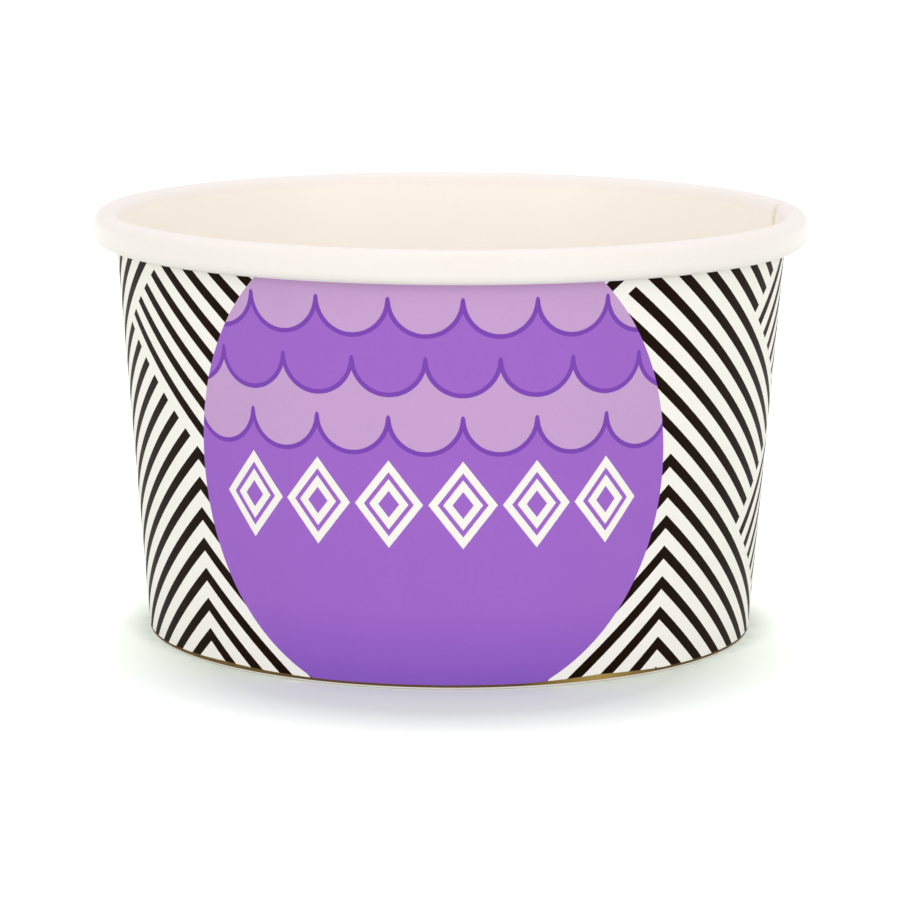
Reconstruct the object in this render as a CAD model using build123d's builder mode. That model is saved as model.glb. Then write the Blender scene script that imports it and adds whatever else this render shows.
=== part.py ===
from build123d import *
from math import asin, atan2, cos, degrees, radians, sin
import os

# A paper dessert cup in millimetres: a conical wall with a curled rim and a folded foot, and a base disc.
# +Z is up, the cup stands on Z = 0 and the origin is the centre of its foot. The front of the cup faces -Y.

# Overall sizes
rim_diameter = 87.5
cup_height = 52.0
foot_diameter = 74.5

# The board, and the film that seals one ply of it to the next
board = 0.4
film = 0.02

# The rim curl: the board rolled outward into an oval tube, with its free end tucked in beside the wall
curl_width = 2.9
curl_height = 4.0
tuck_length = 0.9
tuck_gap = 0.12

# The foot: the board folded inward under the base disc's skirt, and up again as a hem
land_width = 0.34
hem_gap = 0.3

# The base disc: a flat floor with a skirt turned down between the wall and its hem
floor_height = 6.8
floor_corner_radius = 0.9
skirt_gap = 0.15

# The lap seam: one edge of the wall blank climbs over the other and is sealed down on it
seam_bearing = 8.0
lap_width = 6.5
climb_width = 1.8
climb_sink = 0.03
cutter_margin = 0.1

# Each quarter bend is drawn in a few flats, which keeps the facets of a thin round piece few
shown_flat_count = 3
hidden_flat_count = 2

# Radii
rim_radius = rim_diameter / 2
foot_radius = foot_diameter / 2
over_radius = curl_width / 2

# The printed face runs straight from the foot's corner until it meets the curl's roll as a tangent
over_centre = Vector(rim_radius - over_radius, cup_height - over_radius)
reach = over_centre - Vector(foot_radius, 0)
lean = degrees(atan2(reach.X, reach.Y) - asin((over_radius - board) / reach.length))
up_the_wall = Vector(0, 1).rotate(Axis.Z, -lean)
out_of_wall = Vector(1, 0).rotate(Axis.Z, -lean)

# The underside of the curl turns back until its end stands beside the wall, a tuck gap away
curl_foot = cup_height - curl_height
under_span = (Vector(rim_radius, curl_foot) - Vector(foot_radius, 0)).dot(out_of_wall) - tuck_gap
under_radius = under_span / (1 + out_of_wall.X - out_of_wall.Y)
under_centre = Vector(rim_radius - under_radius, curl_foot + under_radius)

# Wall, skirt and hem lie ply on ply in the foot, and the fold round them leaves a level land to stand on
skirt_depth = board + film
hem_depth = 3 * board + 2 * film
fold_radius = (hem_depth - land_width) / 2
skirt_foot = board + skirt_gap
hem_height = floor_height - floor_corner_radius - hem_gap


def on_wall(height, distance):
    """The point at a height that lies a distance outside the wall's printed face."""
    return Vector(foot_radius + (height * up_the_wall.X + distance) / up_the_wall.Y, height)


def bend(centre, radius, start, stop, flats):
    """The points of a bend about a centre, from one bearing to another in even flats."""
    step = (stop - start) / flats
    return [centre + Vector(radius, 0).rotate(Axis.Z, start + step * n) for n in range(flats + 1)]


def curl_roll(distance, flats):
    """The curl over the top, down the side and half under, a distance outside the printed face."""
    rise = bend(over_centre, over_radius - board - distance, 180 - lean, 90, flats)
    fall = bend(over_centre, over_radius - board - distance, 90, 0, flats)
    return rise + fall[1:] + bend(under_centre, under_radius - board - distance, 0, -90, flats)


def curl_tuck(distance, flats):
    """The rest of the curl, back to the wall and up beside it."""
    back = bend(under_centre, under_radius - board - distance, -90, -180 - lean, flats)
    return back[1:] + [back[-1] + up_the_wall * tuck_length]


def printed_face():
    """The board's outer face, from the hem's free edge round the foot and the curl to the tucked end."""
    hem_centre = on_wall(fold_radius, fold_radius - hem_depth)
    hem_fold = bend(hem_centre, fold_radius, 180 - lean, 270, hidden_flat_count)
    wall_fold = bend(on_wall(fold_radius, -fold_radius), fold_radius, -90, -lean, hidden_flat_count)
    roll = curl_roll(0, hidden_flat_count) + curl_tuck(0, hidden_flat_count)
    return [on_wall(hem_height, -hem_depth)] + hem_fold + wall_fold + roll


def coated_face():
    """The board's inner face, a board's thickness from the printed one all the way."""
    hem_line = board - hem_depth
    fold = [on_wall(hem_height, hem_line), on_wall(board, hem_line), on_wall(board, -board)]
    return fold + curl_roll(-board, shown_flat_count) + curl_tuck(-board, shown_flat_count)


def lap_section(lift):
    """The second ply over the first, from the foot to the curl's underside, lifted off the printed face."""
    root = -board / 2
    foot = bend(on_wall(fold_radius, lift - fold_radius), fold_radius, -90, -lean, hidden_flat_count)
    roll = curl_roll(lift, hidden_flat_count) + curl_roll(root, hidden_flat_count)[::-1]
    return foot + roll + [on_wall(board, root), on_wall(0, -hem_depth / 2)]


def step_section(depth):
    """The hollow beside the first ply's edge, inside the cup and over the curl, at a depth in the board."""
    air, bed = -board - cutter_margin, depth - board
    hollow = [on_wall(floor_height, bed)] + curl_roll(bed, shown_flat_count)
    return hollow + curl_roll(air, shown_flat_count)[::-1] + [on_wall(floor_height, air)]


def upright_plane(bearing):
    """The upright plane through the cup's axis at a bearing from +X, with its own X pointing outward."""
    turn = radians(bearing)
    return Plane((0, 0, 0), x_dir=(cos(turn), sin(turn), 0), z_dir=(sin(turn), -cos(turn), 0))


def turn_for(width):
    """The angle that a width takes up on the wall at half height."""
    return degrees(width / on_wall(cup_height / 2, 0).X)


climb_end = seam_bearing + turn_for(climb_width)
climb = [(seam_bearing, -climb_sink), (climb_end, board)]

# Wall: one blank, rolled round and sealed down its lap seam
with BuildPart() as sidewall:
    with BuildSketch(Plane.XZ):
        with BuildLine():
            Polyline(*printed_face(), *coated_face()[::-1], close=True)
        make_face()
    revolve(axis=Axis.Z)
    # The second ply climbs over the first one's edge, then lies on it as far as its own cut edge
    for bearing, lift in climb:
        with BuildSketch(upright_plane(bearing)):
            with BuildLine():
                Polyline(*lap_section(lift), close=True)
            make_face()
    loft(ruled=True)
    with BuildSketch(upright_plane(climb_end)):
        with BuildLine():
            Polyline(*lap_section(board), close=True)
        make_face()
    revolve(axis=Axis.Z, revolution_arc=turn_for(lap_width))
    # Inside the cup the first ply's cut edge stands clear of the climbing ply
    for bearing, depth in climb:
        with BuildSketch(upright_plane(bearing)):
            with BuildLine():
                Polyline(*step_section(depth), close=True)
            make_face()
    loft(ruled=True, mode=Mode.SUBTRACT)
sidewall.part.label = "sidewall"


def disc_face(depth, flats):
    """One face of the base disc, from its skirt's edge to the centre, a depth below the floor's top."""
    corner_line = -skirt_depth - floor_corner_radius
    corner = on_wall(floor_height - floor_corner_radius, corner_line)
    turned = bend(corner, floor_corner_radius - depth, -lean, 90, flats)
    return [on_wall(skirt_foot, -skirt_depth - depth)] + turned + [Vector(0, floor_height - depth)]


# Base: one round blank, its rim drawn down into a skirt that is sealed inside the foot
with BuildPart() as base_disc:
    with BuildSketch(Plane.XZ):
        with BuildLine():
            Polyline(*disc_face(0, shown_flat_count), *disc_face(board, hidden_flat_count)[::-1], close=True)
        make_face()
    revolve(axis=Axis.Z)
base_disc.part.label = "base_disc"

os.makedirs("parts", exist_ok=True)
export_step(sidewall.part, "parts/sidewall.step")
export_step(base_disc.part, "parts/base_disc.step")
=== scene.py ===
from collections import namedtuple
from math import asin, atan2, cos, degrees, pi, radians, sin, sqrt, tan

import bmesh
import bpy
from mathutils import Matrix, Vector


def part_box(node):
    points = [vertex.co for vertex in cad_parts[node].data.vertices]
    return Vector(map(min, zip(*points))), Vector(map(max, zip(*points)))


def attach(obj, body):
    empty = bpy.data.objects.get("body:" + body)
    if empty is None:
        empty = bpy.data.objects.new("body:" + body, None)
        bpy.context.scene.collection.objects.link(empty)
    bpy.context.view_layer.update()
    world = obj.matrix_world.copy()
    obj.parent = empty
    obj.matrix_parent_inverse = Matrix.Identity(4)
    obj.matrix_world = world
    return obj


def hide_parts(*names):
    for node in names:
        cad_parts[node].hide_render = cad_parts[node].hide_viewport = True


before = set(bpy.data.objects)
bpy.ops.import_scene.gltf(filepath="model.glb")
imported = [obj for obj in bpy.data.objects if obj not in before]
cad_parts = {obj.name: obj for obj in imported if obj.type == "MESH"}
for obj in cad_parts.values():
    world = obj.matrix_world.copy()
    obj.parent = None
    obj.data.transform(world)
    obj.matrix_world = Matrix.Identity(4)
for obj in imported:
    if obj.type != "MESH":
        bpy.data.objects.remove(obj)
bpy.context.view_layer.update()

# A paper dessert cup: a printed wall with a rolled rim and a folded foot, and a base disc held inside it.
# Sizes are in millimetres and become metres when a mesh is made. Sizes named in small letters are those of
# the part's source, and values named in capitals are the scene's own.
MM = 0.001

# The wall and its board
cup_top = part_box("sidewall")[1]
rim_radius = cup_top.x / MM
cup_height = cup_top.z / MM
foot_radius = 37.25
board = 0.4
film = 0.02

# The rim curl
over_radius = 1.45
curl_height = 4.0
tuck_length = 0.9
tuck_gap = 0.12

# The folded foot and the base disc
land_width = 0.34
hem_gap = 0.3
floor_height = 6.8
floor_corner_radius = 0.9
skirt_gap = 0.15

# The lap seam: where it starts, in degrees round from +X, and its two widths
lap_start = 8.0
climb_width = 1.8
lap_width = 6.5

# Small forms: the slope of a cut edge, the degrees over which the curl gives way to the lap, how far the
# printed face runs up behind the curl, and how far under the floor the step inside the cup ends
CUT_SLOPE = 0.02
GIVE_WAY_TURN = 8.0
PRINT_OVERRUN = 0.6
STEP_END = 0.05

# How far the rim is out of round, and its waves: how many go round the cup, their share and their phase
UNEVEN = 0.03
UNEVEN_WAVES = ((2, 1, 0.6), (3, 0.6, 2.1), (7, 0.35, 0))

# Columns round the cup, in which no two but those of the seam lie closer than a least turn in degrees
WALL_COLUMNS = 288
BASE_COLUMNS = 192
CLIMB_COLUMNS = 6
LEAST_TURN = 0.3

# Rows up each face of the wall, and rings on the floor as shares of its flat radius
WALL_ROWS = 12
INSIDE_ROWS = 10
FLOOR_RINGS = (0.97, 0.8, 0.6, 0.4, 0.2, 0)

# Steps in each bend: the foot's folds, the floor's corner above and below, and the curl's roll over the
# top, under and back to the wall, on the face inside the roll and on the face outside
FOLD_STEPS = 6
CORNER_STEPS, CORNER_UNDER_STEPS = 12, 8
INNER_OVER_STEPS, INNER_UNDER_STEPS, INNER_BACK_STEPS = 12, 5, 6
OUTER_OVER_STEPS, OUTER_UNDER_STEPS, OUTER_BACK_STEPS = 24, 8, 10

# An edge is sharp from this angle in degrees, and points closer than this many metres are one
SHARP_ANGLE = 38
MERGE_WITHIN = 1e-7

# The bake map, in shares of its width and height. The print fills four cells, two by two,
# with a quarter of the way round in each, and every other surface fills a band across the map above them.
CELL_TURN = 90
CELL_PITCH = (0.5, 0.394)
CELL_START = (0.006, 0.002)
CELL_SIZE = (0.486, 0.3861)
BANDS = {"inside": (0.795, 0.915), "curl": (0.92, 0.965), "plain": (0.97, 0.984), "edge": (0.99, 0.998)}
BAND_START = 0.002
BAND_WIDTH = 0.996

# Places that follow from those sizes
over_centre = Vector((rim_radius - over_radius, cup_height - over_radius))
reach = over_centre - Vector((foot_radius, 0))
lean = atan2(reach.x, reach.y) - asin((over_radius - board) / reach.length)
lean_turn = degrees(lean)
up_the_wall = Vector((sin(lean), cos(lean)))
curl_foot = cup_height - curl_height
under_span = (rim_radius - foot_radius) * cos(lean) - curl_foot * sin(lean) - tuck_gap
skirt_depth = board + film
skirt_foot = board + skirt_gap
hem_depth = 3 * board + 2 * film
fold_radius = (hem_depth - land_width) / 2
hem_height = floor_height - floor_corner_radius - hem_gap


def on_wall(height, distance):
    """The point at a height that lies a distance outside the wall's printed face."""
    return Vector((foot_radius + (height * sin(lean) + distance) / cos(lean), height))


half_way_radius = on_wall(cup_height / 2, 0).x


def turn_for(width):
    """The angle that a width takes up on the wall at half height, in degrees."""
    return degrees(width / half_way_radius)


cut_bearing = lap_start + turn_for(climb_width) + turn_for(lap_width)


def bend(centre, radius, start, stop, steps):
    """The points of a round bend about a centre, from one bearing to another in degrees."""
    turns = [radians(start + (stop - start) * n / steps) for n in range(steps + 1)]
    return [centre + radius * Vector((cos(turn), sin(turn))) for turn in turns]


def smooth(share):
    """A share from 0 to 1, eased at both ends."""
    share = min(max(share, 0), 1)
    return share * share * (3 - 2 * share)


def settled_radius(point, bearing):
    """A point's radius, drawn in a little more the higher it is: a formed cup is never quite round."""
    waves = sum(share * (sin(count * bearing + phase) - 1) for count, share, phase in UNEVEN_WAVES)
    return point.x * (1 + UNEVEN / rim_radius * waves * (point.y / cup_height) ** 2)


def wall_section(lift, depth, shift):
    """The wall's closed outline as runs of points, each with the surface that it carries.

    The lift thickens the board outward where it lies in two plies, the depth hollows its coated face
    beside the first ply's cut edge, and the shift moves the curl's underside out of the lap's way.
    """
    under_radius = (under_span - shift) / (1 + cos(lean) + sin(lean))
    under_centre = Vector((rim_radius - under_radius, curl_foot + under_radius))
    outer_over, inner_over = over_radius - depth, over_radius - board - lift
    outer_under, inner_under = under_radius - depth, under_radius - board - lift
    inward, tucked = 180 - lean_turn, -180 - lean_turn

    hem_centre = on_wall(fold_radius, fold_radius - hem_depth)
    hem_fold = bend(hem_centre, fold_radius, inward, 270, FOLD_STEPS)
    fold_centre = on_wall(fold_radius, lift - fold_radius)
    wall_fold = bend(fold_centre, fold_radius, -90, -lean_turn, FOLD_STEPS)
    print_height = curl_foot + PRINT_OVERRUN - fold_radius
    print_heights = [fold_radius + print_height * n / WALL_ROWS for n in range(1, WALL_ROWS + 1)]

    inner_roll = bend(over_centre, inner_over, inward, 0, INNER_OVER_STEPS)
    inner_roll += bend(under_centre, inner_under, 0, -90, INNER_UNDER_STEPS)
    inner_roll += bend(under_centre, inner_under, -90, tucked, INNER_BACK_STEPS)[1:]
    outer_roll = bend(under_centre, outer_under, tucked, -90, OUTER_BACK_STEPS)
    tucked_end = [inner_roll[-1] + up_the_wall * tuck_length]
    cut_end = [outer_roll[0] + up_the_wall * tuck_length]
    outer_roll += bend(under_centre, outer_under, -90, 0, OUTER_UNDER_STEPS)[1:]
    outer_roll += bend(over_centre, outer_over, 0, inward, OUTER_OVER_STEPS)

    bowl_height = cup_height - floor_height
    bowl_heights = [cup_height - bowl_height * n / INSIDE_ROWS for n in range(2, INSIDE_ROWS + 1)]
    hem_line = board - hem_depth
    return [
        ("plain", [on_wall(hem_height, -hem_depth)] + hem_fold),
        ("print", wall_fold + [on_wall(height, lift) for height in print_heights]),
        ("plain", inner_roll + tucked_end),
        ("edge", cut_end),
        ("curl", outer_roll),
        ("inside", [on_wall(height, depth - board) for height in bowl_heights]),
        ("inside", [on_wall(floor_height - STEP_END, -board), on_wall(board, -board)]),
        ("plain", [on_wall(board, hem_line), on_wall(hem_height, hem_line)]),
    ]


def base_section(lift, depth, shift):
    """The base disc's closed outline, from its skirt's edge over the floor and back under it."""
    corner = on_wall(floor_height - floor_corner_radius, -skirt_depth - floor_corner_radius)
    rings = [corner.x * share for share in FLOOR_RINGS]
    over = bend(corner, floor_corner_radius, -lean_turn, 90, CORNER_STEPS)
    under = bend(corner, floor_corner_radius - board, 90, -lean_turn, CORNER_UNDER_STEPS)
    return [
        ("edge", [on_wall(skirt_foot, -skirt_depth)]),
        ("inside", over + [Vector((ring, floor_height)) for ring in rings]),
        ("curl", [Vector((ring, floor_height - board)) for ring in rings[::-1]] + under),
        ("curl", [on_wall(skirt_foot, -skirt_depth - board)]),
    ]


# One column of a mesh: its turn in degrees from the outer ply's cut edge, what its section takes, and the
# surfaces on which the faces after it are a cut edge
Column = namedtuple("Column", "turn lift depth shift cut")


def wall_columns():
    """The wall's columns, with close ones where the outer ply climbs and on both sides of each cut edge."""
    climb_turn = 360 - turn_for(climb_width + lap_width)
    step_turn = 360 - turn_for(lap_width)
    slope = degrees(CUT_SLOPE / half_way_radius)
    cuts = {step_turn - slope: ("curl", "inside"), 360 - slope: ("print",)}
    climb = [climb_turn + (step_turn - climb_turn) * n / CLIMB_COLUMNS for n in range(CLIMB_COLUMNS)]
    special = climb + [step_turn] + list(cuts)
    even = [360 * n / WALL_COLUMNS for n in range(WALL_COLUMNS)]
    kept = [turn for turn in even if all(abs(turn - other) > LEAST_TURN for other in special)]
    columns = []
    for turn in sorted(kept + special):
        climbed = smooth((turn - climb_turn) / (step_turn - slope - climb_turn))
        shift = smooth(1 - turn / GIVE_WAY_TURN) + smooth((turn - climb_turn) / GIVE_WAY_TURN + 1)
        depth = 0 if turn >= step_turn else board * climbed
        columns.append(Column(turn, board * climbed, depth, board * min(shift, 1), cuts.get(turn, ())))
    return columns


def surface_spans(section):
    """The steps along a closed section: the surface of each, and the shares of it where the step lies."""
    points = [point for kind, run in section for point in run]
    kinds = [kind for kind, run in section for point in run]
    travelled = dict.fromkeys(kinds, 0.0)
    spans = []
    for point, following, kind in zip(points, points[1:] + points[:1], kinds[1:] + kinds[:1]):
        start = travelled[kind]
        travelled[kind] += (following - point).length
        spans.append((kind, start, travelled[kind]))
    return [(kind, start / travelled[kind], stop / travelled[kind]) for kind, start, stop in spans]


def map_corners(kind, turns, start, stop):
    """A face's four corners in the map, from its surface, its two turns and its shares of the surface."""
    if kind == "print":
        cell = int(sum(turns) / 2 // CELL_TURN)
        left = CELL_PITCH[0] * (cell % 2) + CELL_START[0]
        low = CELL_PITCH[1] * (cell // 2) + CELL_START[1]
        first, last = [left + CELL_SIZE[0] * (turn / CELL_TURN - cell) for turn in turns]
        bottom, top = low + CELL_SIZE[1] * start, low + CELL_SIZE[1] * stop
    else:
        low, high = BANDS[kind]
        first, last = [BAND_START + BAND_WIDTH * turn / 360 for turn in turns]
        bottom, top = low + (high - low) * start, low + (high - low) * stop
    return [(first, bottom), (last, bottom), (last, top), (first, top)]


def build_mesh(name, columns, section_for, materials):
    """A mesh turned through a list of columns, with a material and a place in the map on each face."""
    section = section_for(0, 0, 0)
    spans = surface_spans(section)
    count = len(spans)
    on_axis = [point.x == 0 for kind, run in section for point in run]
    vertices, faces, face_kinds, corners = [], [], [], []
    for here, column in enumerate(columns):
        bearing = radians(cut_bearing + column.turn)
        for kind, run in section_for(column.lift, column.depth, column.shift):
            for point in run:
                out = settled_radius(point, bearing) * MM
                vertices.append((out * cos(bearing), out * sin(bearing), point.y * MM))
        after = (here + 1) % len(columns)
        turns = (column.turn, columns[after].turn or 360)
        for index, (kind, start, stop) in enumerate(spans):
            other = (index + 1) % count
            if on_axis[index] and on_axis[other]:
                continue
            faces.append((here * count + index, after * count + index,
                          after * count + other, here * count + other))
            face_kinds.append("edge" if kind in column.cut else kind)
            corners += map_corners(kind, turns, start, stop)
    mesh = bpy.data.meshes.new(name)
    mesh.from_pydata(vertices, [], faces)
    slots = list(materials)
    for slot in slots:
        mesh.materials.append(materials[slot])
    for polygon, kind in zip(mesh.polygons, face_kinds):
        polygon.material_index = slots.index(kind if kind in slots else "coated")
    layer = mesh.uv_layers.new(name="OFBake")
    layer.data.foreach_set("uv", [value for corner in corners for value in corner])
    smooth_faces(mesh)
    piece = bpy.data.objects.new(name, mesh)
    bpy.context.scene.collection.objects.link(piece)
    return piece


def smooth_faces(mesh):
    """Merges the points at a pole, and shades smoothly except over the board's cut edges."""
    made = bmesh.new()
    made.from_mesh(mesh)
    bmesh.ops.remove_doubles(made, verts=made.verts, dist=MERGE_WITHIN)
    made.to_mesh(mesh)
    made.free()
    mesh.shade_smooth()
    mesh.set_sharp_from_angle(angle=radians(SHARP_ANGLE))


# Ink and board colours, from 0 to 255 in sRGB
PAPER = (254, 249, 244)
CREAM = (249, 241, 238)
# Painted light: the inside of the cup is painted lighter and warmer than the same board elsewhere
LIT_INSIDE_CREAM = (255, 249, 241)
WARM_CREAM = (248, 239, 233)
CORE = (238, 229, 214)
BLACK = (28, 14, 5)
PURPLE = (164, 107, 206)
# Painted shade: the purple darkens towards the foot, where less light falls
FOOT_SHADE_PURPLE = (141, 94, 198)
LILAC = (205, 164, 213)
OUTLINE = (130, 74, 184)
OCHRE = (100, 78, 44)
GOLD = (176, 148, 84)

# How a surface of board looks: its specular level, its roughness, and layers of noise that vary its
# roughness, its lightness and its height in millimetres. A layer is a grain in millimetres, a detail and a
# strength.
Surface = namedtuple("Surface", "specular roughness gloss mottle fibres")
PRINTED = Surface(
    specular=0.03,
    roughness=0.5,
    gloss=((0.6, 2, 0.12),),
    mottle=((0.5, 3, 0.05), (7, 2, 0.04)),
    fibres=((0.25, 3, 0.004), (1.6, 2, 0.012)),
)
COATED = Surface(
    specular=0.3,
    roughness=0.38,
    gloss=((1.1, 2, 0.1),),
    mottle=((9, 2, 0.015), (0.7, 3, 0.03)),
    fibres=((0.3, 3, 0.003), (2.2, 2, 0.014)),
)
CUT = Surface(specular=0.2, roughness=0.85, gloss=((0.2, 2, 0.1),), mottle=(), fibres=((0.1, 3, 0.02),))

# The ink: its edge is blurred over a width, and ragged by noise of a grain and a strength
INK_BLUR = 0.05
INK_RAGGED = (0.35, 3, 0.07)

# The print is stretched a little round the cup, so it doesn't quite meet itself at the lap
REGISTER_SLIP = 1.002

# Black stripes: their lean from the level, how many lie in a block and how much of each is ink, how often
# the blocks repeat in half a turn, and how far the pattern is raised
STRIPE_LEAN = radians(40)
STRIPES_IN_BLOCK = 7
INKED_SHARE = 0.435
REPEATS = 4
STRIPE_RISE = 25.0

# Two round fields on opposite sides, whose ground grows darker towards the foot as painted shade
FIELD_BEARING = radians(-94.05)
FIELD_HEIGHT = 26.8
FIELD_RADIUS = 29.7
FADE_HEIGHT = 9.5

# Tiers of scallops: the rise of each above the field's centre, its shift in scallops, and its colour
SCALLOP_TIERS = ((5.6, 0, LILAC), (12.5, 0.5, PURPLE), (19.4, 0, LILAC))
SCALLOP_WIDTH = 8.6
NOTCH_ROUND = 0.8
OUTLINE_WIDTH = 0.55

# A row of lozenges: how far it lies under the field's centre, and the half width and half height of each
LOZENGE_COUNT = 6
LOZENGE_PITCH = 8.6
LOZENGE_DROP = 4.7
LOZENGE_HALF = (4.0, 5.2)
LOZENGE_STROKE = 0.85
LOZENGE_INLINE = 0.5

# The print ends above the foot in a dark ochre line, which stands higher and more golden on two stretches:
# the turn of each from the field's middle and its width, in radians, its rise and its share of gold
PRINT_FOOT = 0.6
STRETCHES = ((0.56, 0.26, 0.38, 1), (-0.72, 0.36, 0.22, 0.2))

# The coated board: the grain and detail of its warmer patches, and the edge and blur of their mask, the
# widths over which the painted light inside the cup meets the rest at the rim and elsewhere, how far under
# the floor that painted light ends, and the knurls pressed into the hem, which stop below its free edge
WARM_PATCHES = (14, 2)
WARM_EDGE = (-0.1, 0.5)
RIM_BLEND = 1.2
MASK_BLEND = 0.1
INSIDE_LIGHT_END = 0.2
KNURL_COUNT = 190
KNURL_HEIGHT = 0.03
KNURL_STOP = 0.4
KNURL_BLEND = 0.2

# The bare fibre of a cut edge: the grain and detail of its light flecks, and how far they blend
FLECK_GRAIN = (0.15, 3)
FLECK_BLEND = 0.6

# The Mix node's sockets for a factor and two colours, and for its colour result
MIX_FACTOR, MIX_FIRST, MIX_SECOND, MIX_RESULT = 0, 6, 7, 2


class Field:
    """A number that varies over a surface. Sums and products of it add Math nodes to its material."""

    def __init__(self, socket):
        self.socket = socket
        self.tree = socket.id_data

    def maths(self, operation, *others, clamp=False):
        """The result of a Math node on this number and others."""
        node = self.tree.nodes.new("ShaderNodeMath")
        node.operation = operation
        node.use_clamp = clamp
        for index, value in enumerate((self, *others)):
            if isinstance(value, Field):
                self.tree.links.new(value.socket, node.inputs[index])
            else:
                node.inputs[index].default_value = value
        return Field(node.outputs[0])

    def __add__(self, other):
        return self.maths("ADD", other)

    def __sub__(self, other):
        return self.maths("SUBTRACT", other)

    def __rsub__(self, other):
        return self * -1 + other

    def __mul__(self, other):
        return self.maths("MULTIPLY", other)

    def __truediv__(self, other):
        return self.maths("DIVIDE", other)

    def __neg__(self):
        return self * -1

    def wrapped(self, low, high):
        """The number brought into a range by whole ranges."""
        return self.maths("WRAP", high, low)

    def size(self):
        """The number without its sign."""
        return self.maths("ABSOLUTE")

    def under(self, limit):
        """1 where the number is under a limit and 0 elsewhere."""
        return self.maths("LESS_THAN", limit)

    def below(self, edge, blur):
        """1 where the number is under an edge and 0 where it is over it, blurred over a width."""
        return (self * (-1 / blur) + (0.5 + edge / blur)).maths("ADD", 0, clamp=True)

    def above(self, edge, blur):
        """1 where the number is over an edge and 0 where it is under it, blurred over a width."""
        return (-self).below(-edge, blur)

    def rising(self, start, stop):
        """A share that rises evenly from 0 at one number to 1 at another."""
        return (self - start).maths("DIVIDE", stop - start, clamp=True)


def length_of(x, y):
    """The length of a vector with two Field components."""
    return (x * x + y * y).maths("SQRT")


def chosen(mask, inside, outside):
    """One Field where a mask is 1, and another or a plain number where it is 0."""
    return (inside - outside) * mask + outside


def linear(colour):
    """A colour written as 0 to 255 in sRGB, as the linear numbers that a shader takes."""
    shares = [value / 255 for value in colour]
    return [s / 12.92 if s <= 0.04045 else ((s + 0.055) / 1.055) ** 2.4 for s in shares] + [1]


class Finish:
    """A material under construction: its tree, its shader and the place on the surface in millimetres."""

    def __init__(self, name, surface):
        self.surface = surface
        self.material = bpy.data.materials.new(name)
        self.material.use_nodes = True
        self.tree = self.material.node_tree
        self.shader = self.tree.nodes["Principled BSDF"]
        self.shader.inputs["Specular IOR Level"].default_value = surface.specular
        self.place = self.tree.nodes.new("ShaderNodeTexCoord").outputs["Object"]
        split = self.tree.nodes.new("ShaderNodeSeparateXYZ")
        self.tree.links.new(self.place, split.inputs[0])
        self.x, self.y, self.z = (Field(socket) * (1 / MM) for socket in split.outputs)

    def radius(self):
        """The distance from the cup's axis."""
        return length_of(self.x, self.y)

    def bearing(self):
        """The angle round the cup's axis from +X."""
        return self.y.maths("ARCTAN2", self.x)

    def noise(self, grain, detail):
        """Noise from -0.5 to 0.5 with grains of a size in millimetres."""
        node = self.tree.nodes.new("ShaderNodeTexNoise")
        node.inputs["Scale"].default_value = 1 / (grain * MM)
        node.inputs["Detail"].default_value = detail
        self.tree.links.new(self.place, node.inputs["Vector"])
        return Field(node.outputs["Fac"]) - 0.5

    def layered(self, layers):
        """The sum of layers of noise, each of a grain, a detail and a strength."""
        first, *others = [self.noise(grain, detail) * strength for grain, detail, strength in layers]
        return sum(others, first)

    def painted(self, base, colour, mask):
        """The colour laid over a base where a mask is 1. Both are colours or sockets."""
        node = self.tree.nodes.new("ShaderNodeMix")
        node.data_type = "RGBA"
        self.tree.links.new(mask.socket, node.inputs[MIX_FACTOR])
        for index, value in ((MIX_FIRST, base), (MIX_SECOND, colour)):
            if isinstance(value, tuple):
                node.inputs[index].default_value = linear(value)
            else:
                self.tree.links.new(value, node.inputs[index])
        return node.outputs[MIX_RESULT]

    def shaded(self, base, share):
        """The base made lighter or darker by a share that varies."""
        node = self.tree.nodes.new("ShaderNodeVectorMath")
        node.operation = "SCALE"
        self.tree.links.new(base, node.inputs[0])
        self.tree.links.new((share + 1).socket, node.inputs["Scale"])
        return node.outputs[0]

    def bumped(self, height):
        """Raises the surface by a height in millimetres."""
        node = self.tree.nodes.new("ShaderNodeBump")
        node.inputs["Strength"].default_value = 1
        node.inputs["Distance"].default_value = 1
        self.tree.links.new((height * MM).socket, node.inputs["Height"])
        self.tree.links.new(node.outputs[0], self.shader.inputs["Normal"])

    def done(self, colour, relief=None):
        """The material in a colour, with its surface's noise and a relief in millimetres."""
        if self.surface.mottle:
            colour = self.shaded(colour, self.layered(self.surface.mottle))
        fibres = self.layered(self.surface.fibres)
        self.bumped(fibres + relief if relief else fibres)
        roughness = self.layered(self.surface.gloss) + self.surface.roughness
        self.tree.links.new(colour, self.shader.inputs["Base Color"])
        self.tree.links.new(roughness.socket, self.shader.inputs["Roughness"])
        return self.material


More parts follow.
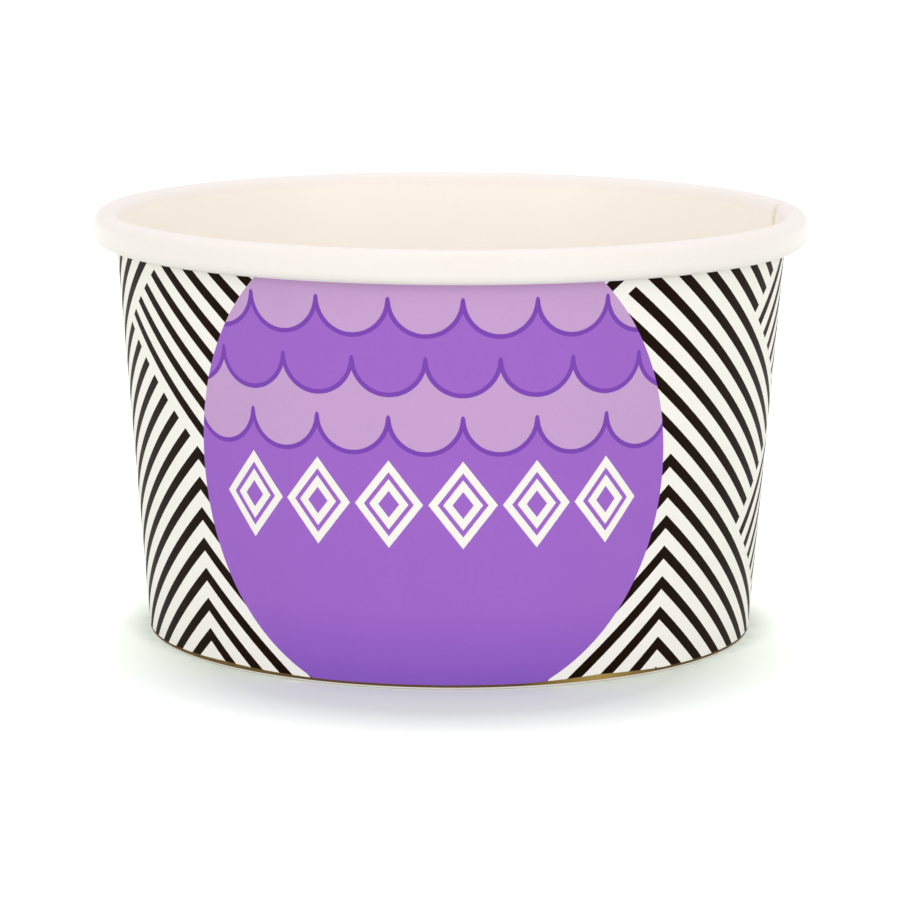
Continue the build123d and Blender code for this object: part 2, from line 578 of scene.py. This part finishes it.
def ink_stripes(around, height, ragged):
    """The mask of black ink: a herringbone on the slant, in which every other row of blocks turns a corner.

    Two slanted directions, a and b, cut the wall into cells. A block is two cells long and one wide, with
    its stripes along it. The difference of a cell's two numbers, counted round in fours, is its step: 0 and
    1 are the cells of a block that runs along a, and 2 and 3 those of one that runs along b. Limits between
    whole numbers tell the steps apart.
    """
    cell = pi * half_way_radius / REPEATS * sin(STRIPE_LEAN)
    pitch = cell / STRIPES_IN_BLOCK
    risen = (height + STRIPE_RISE) * cos(STRIPE_LEAN)
    a = (around * sin(STRIPE_LEAN) + risen) / cell
    b = (around * -sin(STRIPE_LEAN) + risen) / cell
    a_cell, b_cell = a.maths("FLOOR"), b.maths("FLOOR")
    a_share, b_share = a - a_cell, b - b_cell
    step = (a_cell - b_cell).wrapped(0, 4)
    runs_along_a = step.under(1.5)
    is_corner = (step - 2).size().under(0.5)
    row = a_cell + b_cell + chosen(step.under(2.5), 2 - step, 1)
    turned = row.wrapped(0, 4).under(0.5)

    corner = chosen(turned * is_corner, a_share.maths("MAXIMUM", b_share), a_share)
    across = chosen(runs_along_a, b_share, corner) * cell
    along = chosen(runs_along_a, step + a_share, 3 - step + b_share)
    from_end = chosen(turned, along, 1 - (along - 1).size()) * cell
    side = (across.wrapped(0, pitch) - pitch / 2).size() - pitch * INKED_SHARE / 2
    end = pitch * (1 - INKED_SHARE) / 2 - from_end
    return (side.maths("MAXIMUM", end) + ragged).below(0, INK_BLUR)


def scalloped(made, ground, across, height, ragged):
    """The ground with tiers of scallops laid over it, each with an outline along its lower edge."""
    for rise, shift, colour in SCALLOP_TIERS:
        higher = height - rise
        local = (across + SCALLOP_WIDTH * shift).wrapped(-SCALLOP_WIDTH / 2, SCALLOP_WIDTH / 2)
        hanging = length_of(local, higher) - SCALLOP_WIDTH / 2
        edge = (-higher).maths("SMOOTH_MIN", hanging, NOTCH_ROUND) + ragged
        ground = made.painted(ground, colour, edge.below(0, INK_BLUR))
        ground = made.painted(ground, OUTLINE, edge.size().below(OUTLINE_WIDTH / 2, INK_BLUR))
    return ground


def lozenge_rings(across, height, ragged):
    """The mask of bare board: a row of lozenges, each drawn as two strokes with an inline between them."""
    half_width, half_height = LOZENGE_HALF
    scale = half_width * half_height / sqrt(half_width ** 2 + half_height ** 2)
    middle = LOZENGE_PITCH / 2 * ((LOZENGE_COUNT + 1) % 2)
    local = (across + middle).wrapped(-LOZENGE_PITCH / 2, LOZENGE_PITCH / 2)
    offset = local.size() / half_width + (height + LOZENGE_DROP).size() / half_height
    inset = (1 - offset) * scale + ragged
    outer = (inset - LOZENGE_STROKE / 2).size()
    inner = (inset - LOZENGE_STROKE - LOZENGE_INLINE - LOZENGE_STROKE / 2).size()
    rings = outer.maths("MINIMUM", inner).below(LOZENGE_STROKE / 2, INK_BLUR)
    return rings * across.size().below(LOZENGE_COUNT * LOZENGE_PITCH / 2, INK_BLUR)


def footed(made, colour, from_front, ragged):
    """The colour with a dark ochre line under it, and the bare cream foot under that."""
    line, top = OCHRE, made.z + ragged
    for turn, width, rise, share in STRETCHES:
        stretch = (from_front - turn).size().below(width / 2, width)
        line = made.painted(line, GOLD, stretch * share)
        top = top - stretch * rise
    colour = made.painted(colour, line, top.below(PRINT_FOOT, INK_BLUR))
    return made.painted(colour, CREAM, made.z.below(PRINT_FOOT / 2, INK_BLUR))


def printed_board():
    """The wall's outside: stripes in black ink round two purple fields, on white coated board."""
    made = Finish("printed_board", PRINTED)
    ragged = made.layered([INK_RAGGED])
    start = radians(cut_bearing)
    turn = (made.bearing() - start).wrapped(0, 2 * pi) * REGISTER_SLIP
    from_front = turn - (FIELD_BEARING - start) % (2 * pi) * REGISTER_SLIP
    across = from_front.wrapped(-pi / 2, pi / 2) * made.radius()
    height = (made.z - FIELD_HEIGHT) / cos(lean)

    # Painted shade: the purple ground darkens towards the foot
    ground = made.painted(PURPLE, FOOT_SHADE_PURPLE, made.z.below(FADE_HEIGHT / 2, FADE_HEIGHT))
    ground = scalloped(made, ground, across, height, ragged)
    ground = made.painted(ground, PAPER, lozenge_rings(across, height, ragged))
    stripes = made.painted(PAPER, BLACK, ink_stripes(from_front * half_way_radius, height, ragged))
    field = (length_of(across, height) + ragged).below(FIELD_RADIUS, INK_BLUR)
    colour = made.painted(stripes, ground, field)
    return made.done(footed(made, colour, from_front, ragged))


def coated_board():
    """The inside, the curl and the base: cream board under a clear coating, with painted light inside the
    cup.
    """
    made = Finish("coated_board", COATED)
    level_radius = made.radius() - made.z * tan(lean)
    # Painted light: the mask of the inside of the cup, below the rim and above the floor, painted lighter
    inner = level_radius.below(foot_radius - board / 2, MASK_BLEND)
    inner = inner * made.z.below(cup_height - RIM_BLEND, RIM_BLEND)
    inner = inner * made.z.above(floor_height - INSIDE_LIGHT_END, MASK_BLEND)
    colour = made.painted(CREAM, WARM_CREAM, made.noise(*WARM_PATCHES).below(*WARM_EDGE))
    colour = made.painted(colour, LIT_INSIDE_CREAM, inner)
    hem = level_radius.below(foot_radius - 2 * board, MASK_BLEND)
    hem = hem * made.z.below(hem_height - KNURL_STOP, KNURL_BLEND)
    knurl = (made.bearing() * KNURL_COUNT).maths("SINE") * KNURL_HEIGHT
    return made.done(colour, knurl * hem)


def board_edge():
    """The cut edge of the board: bare fibre, a little darker than its coated faces."""
    made = Finish("board_edge", CUT)
    return made.done(made.painted(CORE, PAPER, made.noise(*FLECK_GRAIN).below(0, FLECK_BLEND)))


finishes = {"print": printed_board(), "coated": coated_board(), "edge": board_edge()}

cup_wall = build_mesh("cup_wall", wall_columns(), wall_section, finishes)
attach(cup_wall, "root")
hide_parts("sidewall")

base_columns = [Column(360 * n / BASE_COLUMNS, 0, 0, 0, ()) for n in range(BASE_COLUMNS)]
base_finishes = {slot: finishes[slot] for slot in ("coated", "edge")}
cup_base = build_mesh("cup_base", base_columns, base_section, base_finishes)
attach(cup_base, "root")
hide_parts("base_disc")


# Camera, fitted to the photograph: its elevation over the foot's centre, its distance from it in metres,
# how far it looks down, its roll, and its focal length in pixels of the square picture
CAMERA_ELEVATION = radians(12.427)
CAMERA_DISTANCE = 0.49613
CAMERA_LOOK_DOWN = radians(9.954)
CAMERA_ROLL = radians(0.2265)
FOCAL_PIXELS = 3960.8
PICTURE_PIXELS = 900
SENSOR_WIDTH = 36

camera = bpy.data.objects.new("camera", bpy.data.cameras.new("camera"))
bpy.context.scene.collection.objects.link(camera)
camera.data.sensor_width = SENSOR_WIDTH
camera.data.lens = FOCAL_PIXELS / PICTURE_PIXELS * SENSOR_WIDTH
to_camera = Vector((0, -cos(CAMERA_ELEVATION), sin(CAMERA_ELEVATION)))
place = Matrix.Translation(to_camera * CAMERA_DISTANCE)
aim = Matrix.Rotation(pi / 2 - CAMERA_LOOK_DOWN, 4, "X") @ Matrix.Rotation(CAMERA_ROLL, 4, "Z")
camera.matrix_world = place @ aim
bpy.context.scene.camera = camera


# Floor, in metres: pale, and lifted to white only for what the camera and the gloss see. The lift has a
# least part everywhere, a near part that keeps clear of three round shades, before the cup, behind it and
# close round its foot, and a far part. A shade is the place of its centre along Y, and the radii where the
# near part starts and where it is whole.
FLOOR_HALF = 3.0
FLOOR_COLOUR = (0.8, 0.86, 0.79, 1)
LIFT_COLOUR = (0.97, 1, 0.95, 1)
LEAST_LIFT = 0.06
SHADES = ((-0.02, 0.028, 0.045), (0.03, 0.024, 0.045), (0, 0.0365, 0.042))
NEAR_LIFT = 0.45
FAR_LIFT = 0.5
FAR_START, FAR_STOP = 0.1, 0.7


def background_ray(tree):
    """1 for camera, glossy and transmitted rays."""
    path = tree.nodes.new("ShaderNodeLightPath")
    seen = Field(path.outputs["Is Camera Ray"])
    seen = seen.maths("MAXIMUM", Field(path.outputs["Is Glossy Ray"]))
    return seen.maths("MAXIMUM", Field(path.outputs["Is Transmission Ray"]))


def pale_floor():
    """The floor's material: a diffuse surface with the lift added to it as a glow."""
    material = bpy.data.materials.new("floor")
    material.use_nodes = True
    tree = material.node_tree
    tree.nodes.remove(tree.nodes["Principled BSDF"])
    split = tree.nodes.new("ShaderNodeSeparateXYZ")
    tree.links.new(tree.nodes.new("ShaderNodeTexCoord").outputs["Object"], split.inputs[0])
    x, y = Field(split.outputs[0]), Field(split.outputs[1])
    near, *others = [length_of(x, y - centre).rising(start, stop) for centre, start, stop in SHADES]
    for other in others:
        near = near.maths("MINIMUM", other)
    far = length_of(x, y).rising(FAR_START, FAR_STOP)
    lift = (far * FAR_LIFT + near * NEAR_LIFT + LEAST_LIFT) * background_ray(tree)
    diffuse = tree.nodes.new("ShaderNodeBsdfDiffuse")
    diffuse.inputs["Color"].default_value = FLOOR_COLOUR
    glow = tree.nodes.new("ShaderNodeEmission")
    glow.inputs["Color"].default_value = LIFT_COLOUR
    tree.links.new(lift.socket, glow.inputs["Strength"])
    both = tree.nodes.new("ShaderNodeAddShader")
    tree.links.new(diffuse.outputs[0], both.inputs[0])
    tree.links.new(glow.outputs[0], both.inputs[1])
    tree.links.new(both.outputs[0], tree.nodes["Material Output"].inputs["Surface"])
    return material


floor_mesh = bpy.data.meshes.new("floor")
floor_corners = [(FLOOR_HALF * x, FLOOR_HALF * y, 0) for x, y in ((-1, -1), (1, -1), (1, 1), (-1, 1))]
floor_mesh.from_pydata(floor_corners, [], [(0, 1, 2, 3)])
floor_mesh.materials.append(pale_floor())
studio_floor = bpy.data.objects.new("floor", floor_mesh)
bpy.context.scene.collection.objects.link(studio_floor)


# Light: a bright even room, which the camera and the gloss see as white, with three soft square lamps turned
# to the cup. A lamp is its name, its place and its size in metres, and its power.
ROOM_LEVEL = 0.83
LAMP_TARGET = Vector((0, 0, 0.03))
LAMPS = (
    ("lamp_left", (-0.85, -1.05, 0.36), 0.7, 2.75),
    ("lamp_right", (0.9, -1.0, 0.36), 0.7, 2.7),
    ("lamp_back", (0, 0.3, 1.15), 0.22, 1.15),
)

world = bpy.data.worlds.new("world")
world.use_nodes = True
bpy.context.scene.world = world
room = world.node_tree.nodes["Background"]
room.inputs["Color"].default_value = (1, 1, 1, 1)
level = background_ray(world.node_tree) * (1 - ROOM_LEVEL) + ROOM_LEVEL
world.node_tree.links.new(level.socket, room.inputs["Strength"])

for name, place, width, power in LAMPS:
    lamp = bpy.data.objects.new(name, bpy.data.lights.new(name, "AREA"))
    lamp.data.shape = "SQUARE"
    lamp.data.size = width
    lamp.data.energy = power
    lamp.location = place
    lamp.rotation_mode = "QUATERNION"
    lamp.rotation_quaternion = (LAMP_TARGET - Vector(place)).to_track_quat("-Z", "Y")
    bpy.context.scene.collection.objects.link(lamp)

bpy.context.scene.view_settings.view_transform = "Standard"
